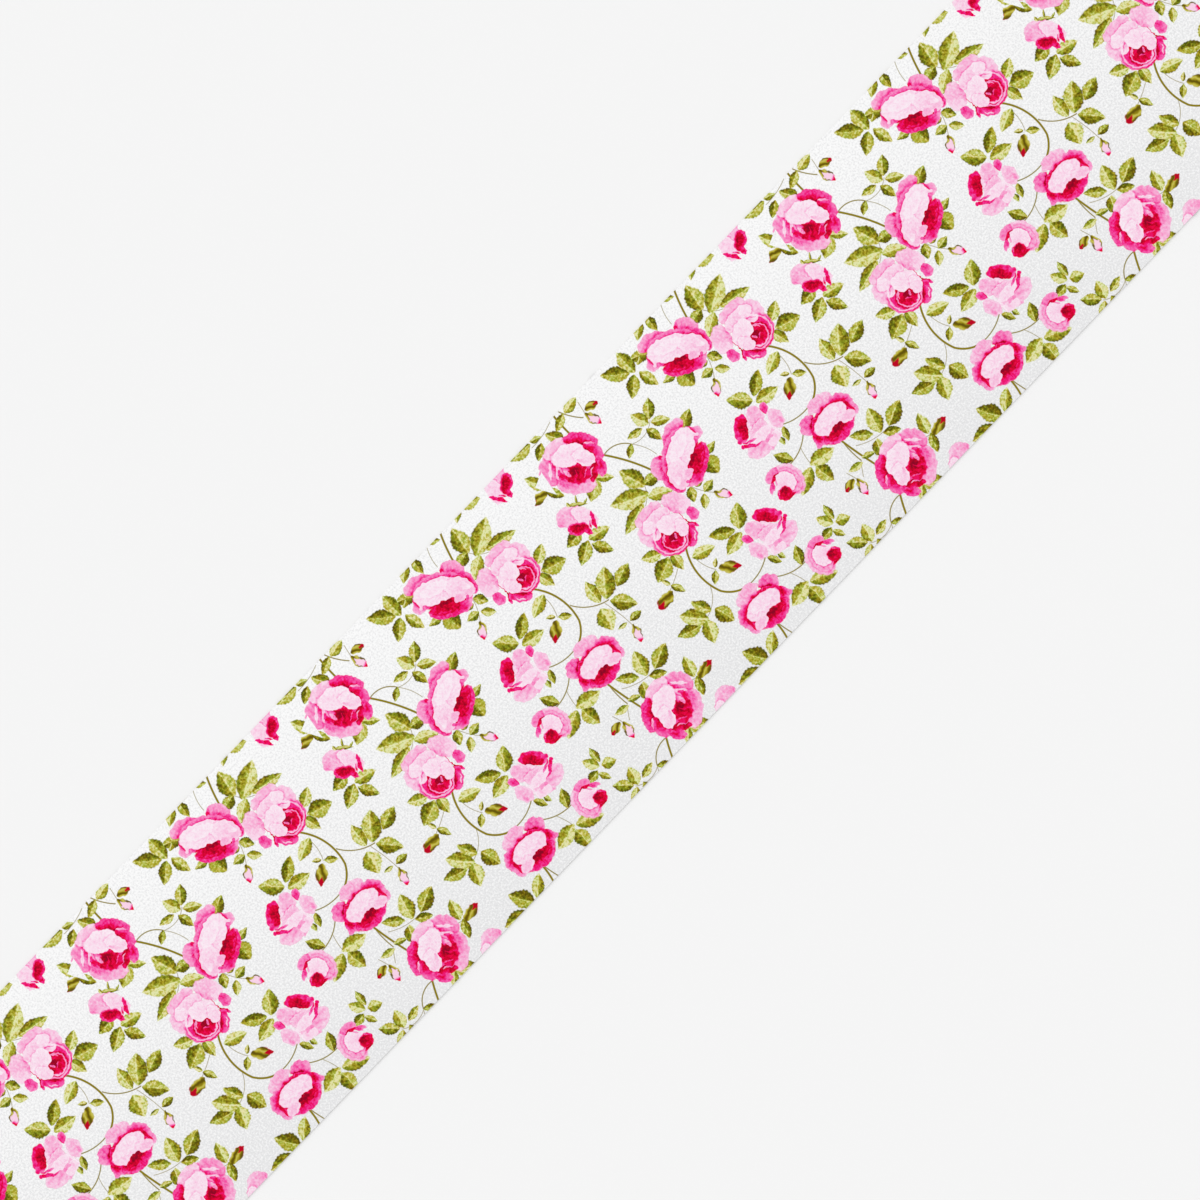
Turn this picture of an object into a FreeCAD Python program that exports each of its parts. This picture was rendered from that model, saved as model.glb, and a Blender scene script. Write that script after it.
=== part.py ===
import FreeCAD, Part
import math
import os

# A small bolt of narrow printed cloth: one long strip wound on a folded corrugated board, with its free
# length pulled off over the top of the bolt and laid out flat. +X runs along the strip from the bolt to
# the cut end, +Y across it and +Z up. The origin is the middle of the footprint, on the table.

# Driving dimensions, in millimetres and degrees.
CLOTH_WIDTH = 63.5  # a 2 1/2 inch quilting strip
CLOTH_THICK = 0.35
LAYER_PITCH = 0.357  # from one wound layer to the next
TURNS = 21

BOARD_FLAT = 71.0  # between the board's two rounded folds
BOARD_LENGTH = 76.0  # along the bolt's axis
LINER_THICK = 0.3
FLUTING_THICK = 0.25
FLUTE_HEIGHT = 2.5  # from liner to liner
FLUTE_PITCH = 6.5
FLUTE_SLOPE = 50.0
BOARD_INNER_GAP = 0.3  # between the two inner liner faces
JOINT_GAP = 0.5  # where the folded board's two edges meet
GLUE_LINE = 0.02

TAPE_THICK = 0.1
JOINT_TAPE_WIDTH = 24.0
INNER_END_TAPE_WIDTH = 18.0
LABEL_THICK = 0.12
LABEL_WIDTH = 44.0
LABEL_LAP = 5.0  # onto the board's upper and lower face

BOARD_CLEARANCE = 0.15  # between the board and the first wound layer
PEEL_CLEARANCE = 0.2  # between the cloth coming off and the layer below it
RAMP_SLOPE = 45.0
FOOT_RADIUS = 14.0  # where the cloth levels out on the table

# Cloth between one crosswise crease and the next, from the bolt's near edge to the cut end.
RAMP_LENGTH = 102.7
PANEL_LENGTHS = (103.2, 103.7, 105.9)
FREE_END_LENGTH = 51.7

# Worked out from them.
BOARD_THICK = 2 * (2 * LINER_THICK + FLUTE_HEIGHT) + BOARD_INNER_GAP
PACK_THICK = TURNS * LAYER_PITCH
EDGE_RADIUS = BOARD_THICK / 2 + BOARD_CLEARANCE + PACK_THICK  # outside of the wound cloth, round the folds
BOLT_HEIGHT = 2 * EDGE_RADIUS
BOARD_MIDDLE_Z = EDGE_RADIUS
BOARD_TOP_Z = BOARD_MIDDLE_Z + BOARD_THICK / 2
BOARD_FOOT_Z = BOARD_MIDDLE_Z - BOARD_THICK / 2
LABEL_EDGE_Y = LABEL_LAP + LABEL_THICK - BOARD_LENGTH / 2

PEEL_RADIUS = EDGE_RADIUS - CLOTH_THICK / 2
RAMP_DROP = BOLT_HEIGHT - CLOTH_THICK
SLOPE = math.radians(RAMP_SLOPE)
ARCS_DROP = (PEEL_RADIUS + FOOT_RADIUS) * (1 - math.cos(SLOPE))
STRAIGHT_RUN = (RAMP_DROP - ARCS_DROP) / math.sin(SLOPE)
RAMP_FLAT = RAMP_LENGTH - STRAIGHT_RUN - (PEEL_RADIUS + FOOT_RADIUS) * SLOPE
RAMP_REACH = (PEEL_RADIUS + FOOT_RADIUS) * math.sin(SLOPE) + STRAIGHT_RUN * math.cos(SLOPE) + RAMP_FLAT

OVERALL_LENGTH = EDGE_RADIUS + BOARD_FLAT + RAMP_REACH + sum(PANEL_LENGTHS) + FREE_END_LENGTH
PEEL_X = -OVERALL_LENGTH / 2 + EDGE_RADIUS + BOARD_FLAT  # the bolt's near top edge, where the cloth comes off
BOARD_MIDDLE_X = PEEL_X - BOARD_FLAT / 2
FIRST_CREASE_X = PEEL_X + RAMP_REACH

X, Y, Z = FreeCAD.Vector(1, 0, 0), FreeCAD.Vector(0, 1, 0), FreeCAD.Vector(0, 0, 1)


def box(low, high):
    """A block between two corners."""
    sides = [b - a for a, b in zip(low, high)]
    return Part.makeBox(*sides, FreeCAD.Vector(*low))


def ribbon(start, heading, steps, thick, width, along=X):
    """A sheet of even thickness, bent only one way. Its section's middle line starts at (start, z) with the
    given heading and follows the steps, each a (length, turn) pair that is straight where the turn is 0 and
    an arc elsewhere. The section stands in the plane of `along` and Z, and is centred across that plane."""
    at, angle = along * start[0] + Z * start[1], math.radians(heading)
    sides = {1: [], -1: []}
    ends = {1: [], -1: []}

    def left(direction):
        return Z * math.cos(direction) - along * math.sin(direction)

    for length, turn in steps:
        bend = math.radians(turn)
        forward = along * math.cos(angle) + Z * math.sin(angle)
        if bend:
            centre = at + left(angle) * (length / bend)
            line = [centre - left(angle + bend * f) * (length / bend) for f in (0, 0.5, 1)]
        else:
            line = [at + forward * (length * f) for f in (0, 0.5, 1)]
        for side in sides:
            a, b, c = [p + left(angle + bend * f) * (side * thick / 2) for p, f in zip(line, (0, 0.5, 1))]
            edge = Part.Arc(a, b, c) if bend else Part.LineSegment(a, c)
            sides[side].append(edge.toShape())
            ends[side] += [a, c]
        at, angle = line[2], angle + bend
    caps = [Part.LineSegment(ends[1][i], ends[-1][i]).toShape() for i in (0, -1)]
    outline = Part.Wire(Part.__sortEdges__(sides[1] + sides[-1] + caps))
    across = Y if along == X else X
    sheet = Part.Face(outline).extrude(across * width)
    sheet.translate(across * (-width / 2))
    return sheet


def rounded_slab(far_radius, near_radius, foot_z, width):
    """A solid as long as the board's flat, with two round edges that stand on the same level. Where the near
    edge has the smaller radius, the top steps down to it at the end of the flat."""
    far_x = PEEL_X - BOARD_FLAT
    far_top, near_top = foot_z + 2 * far_radius, foot_z + 2 * near_radius

    def point(x, z):
        return FreeCAD.Vector(x, -width / 2, z)

    edges = [
        Part.LineSegment(point(far_x, foot_z), point(PEEL_X, foot_z)).toShape(),
        Part.Arc(
            point(PEEL_X, foot_z), point(PEEL_X + near_radius, foot_z + near_radius), point(PEEL_X, near_top)
        ).toShape(),
        Part.LineSegment(point(PEEL_X, far_top), point(far_x, far_top)).toShape(),
        Part.Arc(
            point(far_x, far_top), point(far_x - far_radius, foot_z + far_radius), point(far_x, foot_z)
        ).toShape(),
    ]
    if near_top != far_top:
        edges.insert(2, Part.LineSegment(point(PEEL_X, near_top), point(PEEL_X, far_top)).toShape())
    return Part.Face(Part.Wire(edges)).extrude(Y * width)


def folded_liner(inset):
    """One of the board's two liners, folded round into a flat tube whose edges meet under its middle."""
    radius = BOARD_THICK / 2 - inset - LINER_THICK / 2
    half = (BOARD_FLAT - JOINT_GAP) / 2
    steps = [(half, 0), (math.pi * radius, 180), (BOARD_FLAT, 0), (math.pi * radius, 180), (half, 0)]
    start = (BOARD_MIDDLE_X + JOINT_GAP / 2, BOARD_MIDDLE_Z - radius)
    return ribbon(start, 0, steps, LINER_THICK, BOARD_LENGTH)


def waves(run):
    """The steps of a fluted run that starts and ends level, halfway between the liners."""
    slope = math.radians(FLUTE_SLOPE)
    rise, half_pitch = FLUTE_HEIGHT - FLUTING_THICK - 2 * GLUE_LINE, FLUTE_PITCH / 2
    radius = (half_pitch * math.tan(slope) - rise) / (2 * math.tan(slope) * math.sin(slope) - 2 * (1 - math.cos(slope)))
    slant = (rise - 2 * radius * (1 - math.cos(slope))) / math.sin(slope)
    entry = (rise / 2 - 2 * radius * (1 - math.cos(slope))) / math.sin(slope)
    ends_run = 2 * (radius * math.sin(slope) + entry * math.cos(slope))
    crests = int((run - ends_run + slant * math.cos(slope)) / half_pitch)
    level = (run - ends_run - crests * half_pitch + slant * math.cos(slope)) / 2
    steps = [(level, 0), (radius * slope, FLUTE_SLOPE), (entry, 0)]
    for crest in range(crests):
        side = 1 if crest % 2 else -1
        last = crest == crests - 1
        steps += [(2 * radius * slope, side * 2 * FLUTE_SLOPE), (entry if last else slant, 0)]
    return steps + [(radius * slope, -side * FLUTE_SLOPE), (level, 0)]


def board_fluting():
    """The fluted middle sheet, crushed level where the board is folded."""
    radius = BOARD_THICK / 2 - LINER_THICK - FLUTE_HEIGHT / 2
    half = (BOARD_FLAT - JOINT_GAP) / 2
    fold = [(math.pi * radius, 180)]
    steps = waves(half) + fold + waves(BOARD_FLAT) + fold + waves(half)
    start = (BOARD_MIDDLE_X + JOINT_GAP / 2, BOARD_MIDDLE_Z - radius)
    return ribbon(start, 0, steps, FLUTING_THICK, BOARD_LENGTH)


def board_joint_tape():
    """Gummed tape over the joint under the board. It stops short of the label."""
    half = JOINT_TAPE_WIDTH / 2
    return box(
        (BOARD_MIDDLE_X - half, LABEL_EDGE_Y, BOARD_FOOT_Z - TAPE_THICK),
        (BOARD_MIDDLE_X + half, BOARD_LENGTH / 2, BOARD_FOOT_Z),
    )


def inner_end_tape():
    """The tape that holds the cloth's inner end on the board, under the first turn."""
    half = INNER_END_TAPE_WIDTH / 2
    return box(
        (BOARD_MIDDLE_X - half, -CLOTH_WIDTH / 2, BOARD_TOP_Z),
        (BOARD_MIDDLE_X + half, CLOTH_WIDTH / 2, BOARD_TOP_Z + TAPE_THICK),
    )


def end_label():
    """A blank label folded over one end of the board."""
    middle = LABEL_THICK / 2 + GLUE_LINE
    corner = LABEL_THICK
    quarter = (corner * math.pi / 2, -90)
    down = BOARD_THICK + 2 * (middle - corner)
    steps = [(LABEL_LAP, 0), quarter, (down, 0), quarter, (LABEL_LAP, 0)]
    start = (BOARD_LENGTH / 2 + middle - corner - LABEL_LAP, BOARD_TOP_Z + middle)
    label = ribbon(start, 0, steps, LABEL_THICK, LABEL_WIDTH, along=-Y)
    label.translate(X * BOARD_MIDDLE_X)
    return label


def wound_fabric():
    """The wound layers. Round the near edge there is one layer less, because the outermost has come off."""
    near_radius = EDGE_RADIUS - (CLOTH_THICK + PEEL_CLEARANCE) / 2
    pack = rounded_slab(EDGE_RADIUS, near_radius, 0, CLOTH_WIDTH)
    hole_radius = BOARD_THICK / 2 + BOARD_CLEARANCE
    hole = rounded_slab(hole_radius, hole_radius, BOARD_MIDDLE_Z - hole_radius, BOARD_LENGTH)
    return pack.cut(hole)


def ramp_panel():
    """The cloth from the bolt's near top edge, down to the table and on to the first crease."""
    steps = [
        (PEEL_RADIUS * SLOPE, -RAMP_SLOPE),
        (STRAIGHT_RUN, 0),
        (FOOT_RADIUS * SLOPE, RAMP_SLOPE),
        (RAMP_FLAT, 0),
    ]
    return ribbon((PEEL_X, BOLT_HEIGHT - CLOTH_THICK / 2), 0, steps, CLOTH_THICK, CLOTH_WIDTH)


def flat_panel(start_x, length):
    """Cloth that lies flat on the table between two creases."""
    return box((start_x, -CLOTH_WIDTH / 2, 0), (start_x + length, CLOTH_WIDTH / 2, CLOTH_THICK))


def nodes():
    parts = {
        "board_outer_liner": folded_liner(0),
        "board_fluting": board_fluting(),
        "board_inner_liner": folded_liner(LINER_THICK + FLUTE_HEIGHT),
        "board_joint_tape": board_joint_tape(),
        "inner_end_tape": inner_end_tape(),
        "end_label": end_label(),
        "wound_fabric": wound_fabric(),
        "ramp_panel": ramp_panel(),
    }
    crease = FIRST_CREASE_X
    for number, length in enumerate(PANEL_LENGTHS, 1):
        parts[f"strip_panel_{number}"] = flat_panel(crease, length)
        crease += length
    parts["free_end_panel"] = flat_panel(crease, FREE_END_LENGTH)
    return parts


os.makedirs("parts", exist_ok=True)
for name, shape in nodes().items():
    shape.exportStep(f"parts/{name}.step")
    size = shape.BoundBox
    print(
        f"{name}: valid {shape.isValid()}, {len(shape.Solids)} solid, {shape.Volume:.1f} mm3, "
        f"x {size.XMin:.2f} {size.XMax:.2f}, y {size.YMin:.2f} {size.YMax:.2f}, z {size.ZMin:.2f} {size.ZMax:.2f}"
    )
print(f"peel edge x {PEEL_X:.3f}, top {BOLT_HEIGHT:.3f}; first crease x {FIRST_CREASE_X:.3f}")
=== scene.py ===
"""Looks for a small bolt of narrow cloth printed with roses. Its free length lies flat on a pale floor.

The cloth is one strip, so one route gives every stretch of it its place: from its inner end on the
board, round the bolt, off the bolt's near edge and along the floor to the cut end. Nodes paint the
print in the cloth's own millimetres, so it runs on from piece to piece."""

import math

import bpy
import numpy as np
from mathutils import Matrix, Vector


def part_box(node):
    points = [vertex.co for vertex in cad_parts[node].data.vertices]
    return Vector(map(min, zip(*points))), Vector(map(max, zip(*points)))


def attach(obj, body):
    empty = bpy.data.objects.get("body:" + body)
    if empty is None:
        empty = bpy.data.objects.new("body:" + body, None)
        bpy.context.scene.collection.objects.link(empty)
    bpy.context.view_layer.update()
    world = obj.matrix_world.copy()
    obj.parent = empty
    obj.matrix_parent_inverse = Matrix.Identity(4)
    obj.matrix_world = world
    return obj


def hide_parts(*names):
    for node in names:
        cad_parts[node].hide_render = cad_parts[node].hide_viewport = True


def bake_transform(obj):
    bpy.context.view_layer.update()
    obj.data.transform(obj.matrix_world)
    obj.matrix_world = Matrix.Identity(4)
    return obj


MM = 0.001

# The cloth and the bolt, in millimetres, as in the CAD model.
CLOTH_WIDTH = 63.5
CLOTH_THICK = 0.35
LAYER_PITCH = 0.357
TURNS = 21
BOARD_FLAT = 71.0
BOARD_THICK = 6.5
BOARD_CLEARANCE = 0.15
RAMP_LENGTH = 102.7
PANEL_LENGTHS = (103.2, 103.7, 105.9)
FREE_END_LENGTH = 51.7
SLOPE = math.radians(45)
FOOT_RADIUS = 14.0

EDGE_RADIUS = BOARD_THICK / 2 + BOARD_CLEARANCE + TURNS * LAYER_PITCH
BOLT_HEIGHT = 2 * EDGE_RADIUS
PEEL_RADIUS = EDGE_RADIUS - CLOTH_THICK / 2
ARCS_DROP = (PEEL_RADIUS + FOOT_RADIUS) * (1 - math.cos(SLOPE))
STRAIGHT_RUN = (BOLT_HEIGHT - CLOTH_THICK - ARCS_DROP) / math.sin(SLOPE)
RAMP_FLAT = RAMP_LENGTH - STRAIGHT_RUN - (PEEL_RADIUS + FOOT_RADIUS) * SLOPE

# How the cloth is drawn, in millimetres.
DRAWN_THICK = 0.30  # a little under the pitch, so that the wound layers' edges read
CROWN = 0.80  # the middle of the strip stands this much above its edges
RIPPLE = 0.22
RIPPLE_SEED = 5
RIPPLE_EASE = 12.0  # the ripples die out over this much at the ends of a piece
FLOOR_EASE = 25.0  # the crown and ripples grow over this much, from where the cloth reaches the floor
CREASE_HEIGHT = 0.30
CREASE_REACH = 1.6  # along the cloth, each side of the crease
SETTLED_REACH = 36.0  # the cloth lies flatter this near the last crease, to let its end fold clear
FINE_REACH = 7.0  # rows of vertices stand closer together this near a fold
FINE_ROWS = (
    *(-6.5, -5, -3.6, -2.4, -1.6, -1.1, -0.7, -0.35, 0, 0.35, 0.7, 1.1),
    *(1.6, 2.2, 2.8, 3.4, 4, 4.6, 5.2, 5.8, 6.5),
)
EDGE_INSET = 0.9999  # keeps the cut edges just inside the CAD's
WOUND_DRIFT = 0.10  # how far the wound layers' edges wander sideways

# The photograph's view.
VIEW_CENTRE_X = 82.64
VIEW_SIDE = 237.0
VIEW_TURN = 46.1  # from the picture's right up to the strip's +X
CAMERA_HEIGHT = 1400.0
SENSOR = 36.0
LIGHT_LEVEL = 1.17  # how bright white paper is under the lights, where 1 is a screen's white

# ---------------------------------------------------------------- the cloth's route


class Route:
    """A line in the X-Z plane of straight runs and arcs, end to end, measured along itself."""

    def __init__(self, start, heading, steps):
        self.steps = steps
        self.points = [np.array(start, float)]
        self.headings = [math.radians(heading)]
        self.begins = [0.0]
        for length, turn in steps:
            at, angle = self._along(len(self.begins) - 1, np.array([length]))
            self.points.append(at[0])
            self.headings.append(angle[0])
            self.begins.append(self.begins[-1] + length)
        self.length = self.begins[-1]

    def _along(self, index, distance):
        length, turn = self.steps[index]
        start, heading = self.points[index], self.headings[index]
        bend = math.radians(turn) / length
        angle = heading + bend * distance
        if turn:
            x = (np.sin(angle) - math.sin(heading)) / bend
            z = (math.cos(heading) - np.cos(angle)) / bend
        else:
            x, z = math.cos(heading) * distance, math.sin(heading) * distance
        return start + np.stack([x, z], -1), angle

    def at(self, distance):
        """Points and headings at an array of distances."""
        index = np.searchsorted(self.begins, distance, side="right") - 1
        index = np.clip(index, 0, len(self.steps) - 1)
        points, headings = np.zeros((len(distance), 2)), np.zeros(len(distance))
        for i in np.unique(index):
            mine = index == i
            points[mine], headings[mine] = self._along(i, distance[mine] - self.begins[i])
        return points, headings


def cloth_steps():
    """Every run and arc of the cloth from its inner end under the board to the cut end."""
    steps = []
    for layer in range(TURNS - 1, -1, -1):  # counted from the outside
        steps.append((BOARD_FLAT, 0))
        steps.append((math.pi * (PEEL_RADIUS - layer * LAYER_PITCH), -180))
        steps.append((BOARD_FLAT, 0))
        if layer:
            radius = PEEL_RADIUS - (layer - 0.5) * LAYER_PITCH
            steps.append((math.pi * radius, -180))
    steps += [
        (PEEL_RADIUS * SLOPE, -45),
        (STRAIGHT_RUN, 0),
        (FOOT_RADIUS * SLOPE, 45),
        (RAMP_FLAT + sum(PANEL_LENGTHS) + FREE_END_LENGTH, 0),
    ]
    return steps


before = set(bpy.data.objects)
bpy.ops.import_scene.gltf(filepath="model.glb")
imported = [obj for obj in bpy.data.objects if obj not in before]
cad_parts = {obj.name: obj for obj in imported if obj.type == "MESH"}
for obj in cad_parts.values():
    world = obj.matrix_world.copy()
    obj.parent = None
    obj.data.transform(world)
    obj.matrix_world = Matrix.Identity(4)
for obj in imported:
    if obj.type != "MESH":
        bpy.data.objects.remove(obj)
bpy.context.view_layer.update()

PEEL_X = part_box("ramp_panel")[0].x / MM
INNER_END = (PEEL_X, CLOTH_THICK / 2 + (TURNS - 1) * LAYER_PITCH)
route = Route(INNER_END, 180, cloth_steps())
CUT_END = route.length
PEEL = CUT_END - FREE_END_LENGTH - sum(PANEL_LENGTHS) - RAMP_LENGTH
CREASES = [PEEL + RAMP_LENGTH]
for length in PANEL_LENGTHS:
    CREASES.append(CREASES[-1] + length)
CREASE_XS = route.at(np.array(CREASES))[0][:, 0]
OUTER_TURN = PEEL - 2 * BOARD_FLAT - math.pi * (2 * PEEL_RADIUS - 0.5 * LAYER_PITCH)
# The print is measured from the middle of the photograph.
PRINT_ZERO = CREASES[1] + VIEW_CENTRE_X - CREASE_XS[1]

# ---------------------------------------------------------------- cloth meshes


def smooth(x):
    x = np.clip(x, 0, 1)
    return x * x * (3 - 2 * x)


def waves(s, y, seed):
    """Slow uneven ripples, from -1 to 1."""
    rng = np.random.RandomState(seed)
    total = np.zeros_like(s)
    for wave in range(6):
        along, across = rng.uniform(-1, 1) / 14, rng.uniform(-1, 1) / 18
        total += np.sin(s * along + y * across + rng.uniform(0, 6.3))
    return total / 6


def lift(s, y, ends):
    """How far the cloth on the floor stands above lying flat, in mm. It has no ripples at the two ends
    of a piece, so that the next piece meets it without a step."""
    flat_from = PEEL + RAMP_LENGTH - RAMP_FLAT
    on_floor = smooth((s - flat_from) / FLOOR_EASE)
    crown = CROWN * (1 - (2 * y / CLOTH_WIDTH) ** 2)
    to_end = np.abs(ends[1] - s) if ends[1] < CUT_END else np.inf
    away = np.minimum(np.abs(s - ends[0]), to_end)
    flat_edges = 1 - 0.9 * (2 * y / CLOTH_WIDTH) ** 4
    ripple = RIPPLE * (1 + waves(s, y, RIPPLE_SEED)) * smooth(away / RIPPLE_EASE) * flat_edges
    crease = np.zeros_like(s)
    for number, place in enumerate(CREASES):
        lean = place + 0.25 * np.sin(y * 0.11 + number * 2)
        ridge = np.clip(1 - np.abs(s - lean) / CREASE_REACH, 0, 1) ** 1.5
        fade = 0.55 + 0.45 * np.sin(y * 0.13 + 1.7 * number)
        crease += CREASE_HEIGHT * ridge * fade
    settled = smooth(np.abs(s - CREASES[-1]) / SETTLED_REACH)
    return on_floor * (settled * (crown + ripple) + crease)


def distances(start, end, spacing, marks=()):
    """Distances along the cloth from start to end, closer together round each mark."""
    count = max(int(round((end - start) / spacing)), 1)
    values = list(np.linspace(start, end, count + 1))
    for mark in marks:
        values = [v for v in values if abs(v - mark) > FINE_REACH]
        values += [mark + offset for offset in FINE_ROWS]
    return np.array(sorted(v for v in values if start - 1e-6 <= v <= end + 1e-6))


def cloth(name, s, rows, edge_drift=0.0):
    """A thin closed sheet along the route at the distances s, with rows lines of vertices along it.
    Its UVs are millimetres along the cloth and across it. wrong_side is 1 where it isn't printed."""
    points, headings = route.at(s)
    y = np.linspace(-0.5, 0.5, rows) * CLOTH_WIDTH
    grid_s, grid_y = np.meshgrid(s, y, indexing="ij")
    normal = np.stack([-np.sin(headings), np.cos(headings)], -1)
    rise = lift(grid_s, grid_y, (s[0], s[-1]))
    drift = edge_drift * np.sin(s * 0.021 + 2 * np.sin(s * 0.0137))
    sides = []
    for side in (1, -1):
        off = rise + side * DRAWN_THICK / 2
        x = points[:, 0:1] + normal[:, 0:1] * off
        z = points[:, 1:2] + normal[:, 1:2] * off
        sides.append(np.stack([x, grid_y * EDGE_INSET + drift[:, None], z], -1).reshape(-1, 3))
    vertices = np.concatenate(sides) * MM
    count = len(s) * rows
    index = np.arange(count).reshape(len(s), rows)
    corners = [index[:-1, :-1], index[1:, :-1], index[1:, 1:], index[:-1, 1:]]
    quad = np.stack(corners, -1).reshape(-1, 4)
    faces = [quad, quad[:, ::-1] + count]
    rim = np.concatenate([index[:, 0], index[-1, 1:], index[-2::-1, -1], index[0, -2:0:-1]])
    after = np.roll(rim, -1)
    faces.append(np.stack([after, rim, rim + count, after + count], -1))
    faces = np.concatenate(faces)
    mesh = bpy.data.meshes.new(name)
    mesh.from_pydata(vertices.tolist(), [], faces.tolist())
    places = np.tile(np.stack([grid_s - PRINT_ZERO, grid_y], -1).reshape(-1, 2), (2, 1))
    layer = mesh.uv_layers.new(name="cloth")
    layer.data.foreach_set("uv", places[faces.reshape(-1)].astype(np.float32).ravel())
    side = mesh.attributes.new("wrong_side", "FLOAT", "POINT")
    side.data.foreach_set("value", np.repeat([0.0, 1.0], count).astype(np.float32))
    mesh.polygons.foreach_set("use_smooth", np.ones(len(faces), bool))
    sharp = {tuple(sorted(pair)) for pair in np.stack([rim, after], -1).tolist()}
    sharp |= {tuple(sorted(pair)) for pair in np.stack([rim + count, after + count], -1).tolist()}
    sharp_flags = [tuple(sorted(edge.vertices)) in sharp for edge in mesh.edges]
    mesh.attributes.new("sharp_edge", "BOOLEAN", "EDGE").data.foreach_set("value", sharp_flags)
    mesh.update()
    piece = bpy.data.objects.new(name, mesh)
    bpy.context.scene.collection.objects.link(piece)
    return piece


# ---------------------------------------------------------------- nodes


def linear(rgb):
    """A colour as this light shows it on a screen, 0 to 255, as the numbers a node takes."""
    curve = [c / 255 / 12.92 if c < 10.3 else ((c / 255 + 0.055) / 1.055) ** 2.4 for c in rgb]
    return tuple(c / LIGHT_LEVEL for c in curve) + (1.0,)


class Nodes:
    """Adds nodes to one tree. Each call gives the new node's output. Numbers and tuples set inputs."""

    def __init__(self, tree):
        self.tree = tree

    def node(self, kind, inputs=(), **settings):
        node = self.tree.nodes.new(kind)
        for key, value in settings.items():
            setattr(node, key, value)
        for key, value in inputs:
            if isinstance(value, bpy.types.NodeSocket):
                self.tree.links.new(value, node.inputs[key])
            else:
                node.inputs[key].default_value = value
        return node

    def math(self, operation, *values):
        return self.node("ShaderNodeMath", enumerate(values), operation=operation).outputs[0]

    def vector(self, operation, *values):
        node = self.node("ShaderNodeVectorMath", enumerate(values), operation=operation)
        scalar = operation in ("LENGTH", "DISTANCE", "DOT_PRODUCT")
        return node.outputs["Value" if scalar else "Vector"]

    def join(self, x, y, z=0.0):
        return self.node("ShaderNodeCombineXYZ", enumerate((x, y, z))).outputs[0]

    def split(self, vector):
        return self.node("ShaderNodeSeparateXYZ", [(0, vector)]).outputs

    def placed(self, vector, at, degrees, size):
        """vector as seen from a spot at `at`, turned by degrees, where size is one unit each way."""
        inputs = [(0, vector), (1, at), (2, (0, 0, math.radians(degrees))), (3, size)]
        return self.node("ShaderNodeMapping", inputs, vector_type="TEXTURE").outputs[0]

    def mix(self, factor, a, b, kind="FLOAT"):
        first = {"FLOAT": 2, "VECTOR": 4, "RGBA": 6}[kind]
        output = {"FLOAT": 0, "VECTOR": 1, "RGBA": 2}[kind]
        inputs = [(0, factor), (first, a), (first + 1, b)]
        return self.node("ShaderNodeMix", inputs, data_type=kind).outputs[output]

    def fade(self, value, start, end, low=0.0, high=1.0):
        """low where value is at start, high at end, smooth between and steady past them."""
        inputs = [("Value", value), ("From Min", start), ("From Max", end)]
        inputs += [("To Min", low), ("To Max", high)]
        settings = {"interpolation_type": "SMOOTHSTEP", "clamp": False}
        return self.node("ShaderNodeMapRange", inputs, **settings).outputs[0]

    def noise(self, vector, scale, detail=2.0, roughness=0.5, dimensions="3D", output=0):
        inputs = [("Vector", vector), ("Scale", scale), ("Detail", detail), ("Roughness", roughness)]
        return self.node("ShaderNodeTexNoise", inputs, noise_dimensions=dimensions).outputs[output]

    def group(self, name, build, *values):
        """What build(nodes, *values) gives, from nodes in a group of their own: a large tree is slow to
        add to. Sockets among the values come in through the group's input."""
        kinds = {"VALUE": "NodeSocketFloat", "VECTOR": "NodeSocketVector", "RGBA": "NodeSocketColor"}
        tree = bpy.data.node_groups.new(name, "ShaderNodeTree")
        entry = tree.nodes.new("NodeGroupInput")
        linked, inner_values = [], []
        for value in values:
            if isinstance(value, bpy.types.NodeSocket):
                linked.append(value)
                kind = kinds[value.type]
                tree.interface.new_socket(f"in_{len(linked)}", in_out="INPUT", socket_type=kind)
                value = entry.outputs[len(linked) - 1]
            inner_values.append(value)
        results = build(Nodes(tree), *inner_values)
        leave = tree.nodes.new("NodeGroupOutput")
        for number, result in enumerate(results):
            kind = kinds[result.type]
            tree.interface.new_socket(f"out_{number + 1}", in_out="OUTPUT", socket_type=kind)
            tree.links.new(result, leave.inputs[number])
        holder = self.node("ShaderNodeGroup", node_tree=tree)
        for number, value in enumerate(linked):
            self.tree.links.new(value, holder.inputs[number])
        return tuple(holder.outputs)

    def ramp(self, value, stops):
        """A colour from value, through stops of position, 0 to 1, and screen colour."""
        node = self.node("ShaderNodeValToRGB", [(0, value)])
        elements = node.color_ramp.elements
        while len(elements) < len(stops):
            elements.new(0.5)
        for element, (position, colour) in zip(elements, stops):
            element.position = position
            element.color = linear(colour)
        return node.outputs[0]


def material(name):
    """A new material with its Principled shader, and the means to add nodes."""
    made = bpy.data.materials.new(name)
    made.use_nodes = True
    return made, Nodes(made.node_tree), made.node_tree.nodes["Principled BSDF"]


def plug(nodes, shader, **inputs):
    """Links or sets the shader's inputs, named with _ for a space."""
    for name, value in inputs.items():
        socket = shader.inputs[name.replace("_", " ")]
        if isinstance(value, bpy.types.NodeSocket):
            nodes.tree.links.new(value, socket)
        else:
            socket.default_value = value


# ---------------------------------------------------------------- the print
# One cluster of roses, leaves and stems, in millimetres. It is printed twice in each repeat: once as it
# is, and once mirrored, slightly turned and moved on.

REPEAT = 66.6
CROSS_REPEAT = 63.46
MIRROR_AT = (78.0, 16.8)
MIRROR_TURN = math.radians(2.3)
FIRST_WINDOW = -16.0
SECOND_WINDOW = 16.4
SECOND_BOTTOM = -33.4

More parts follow.
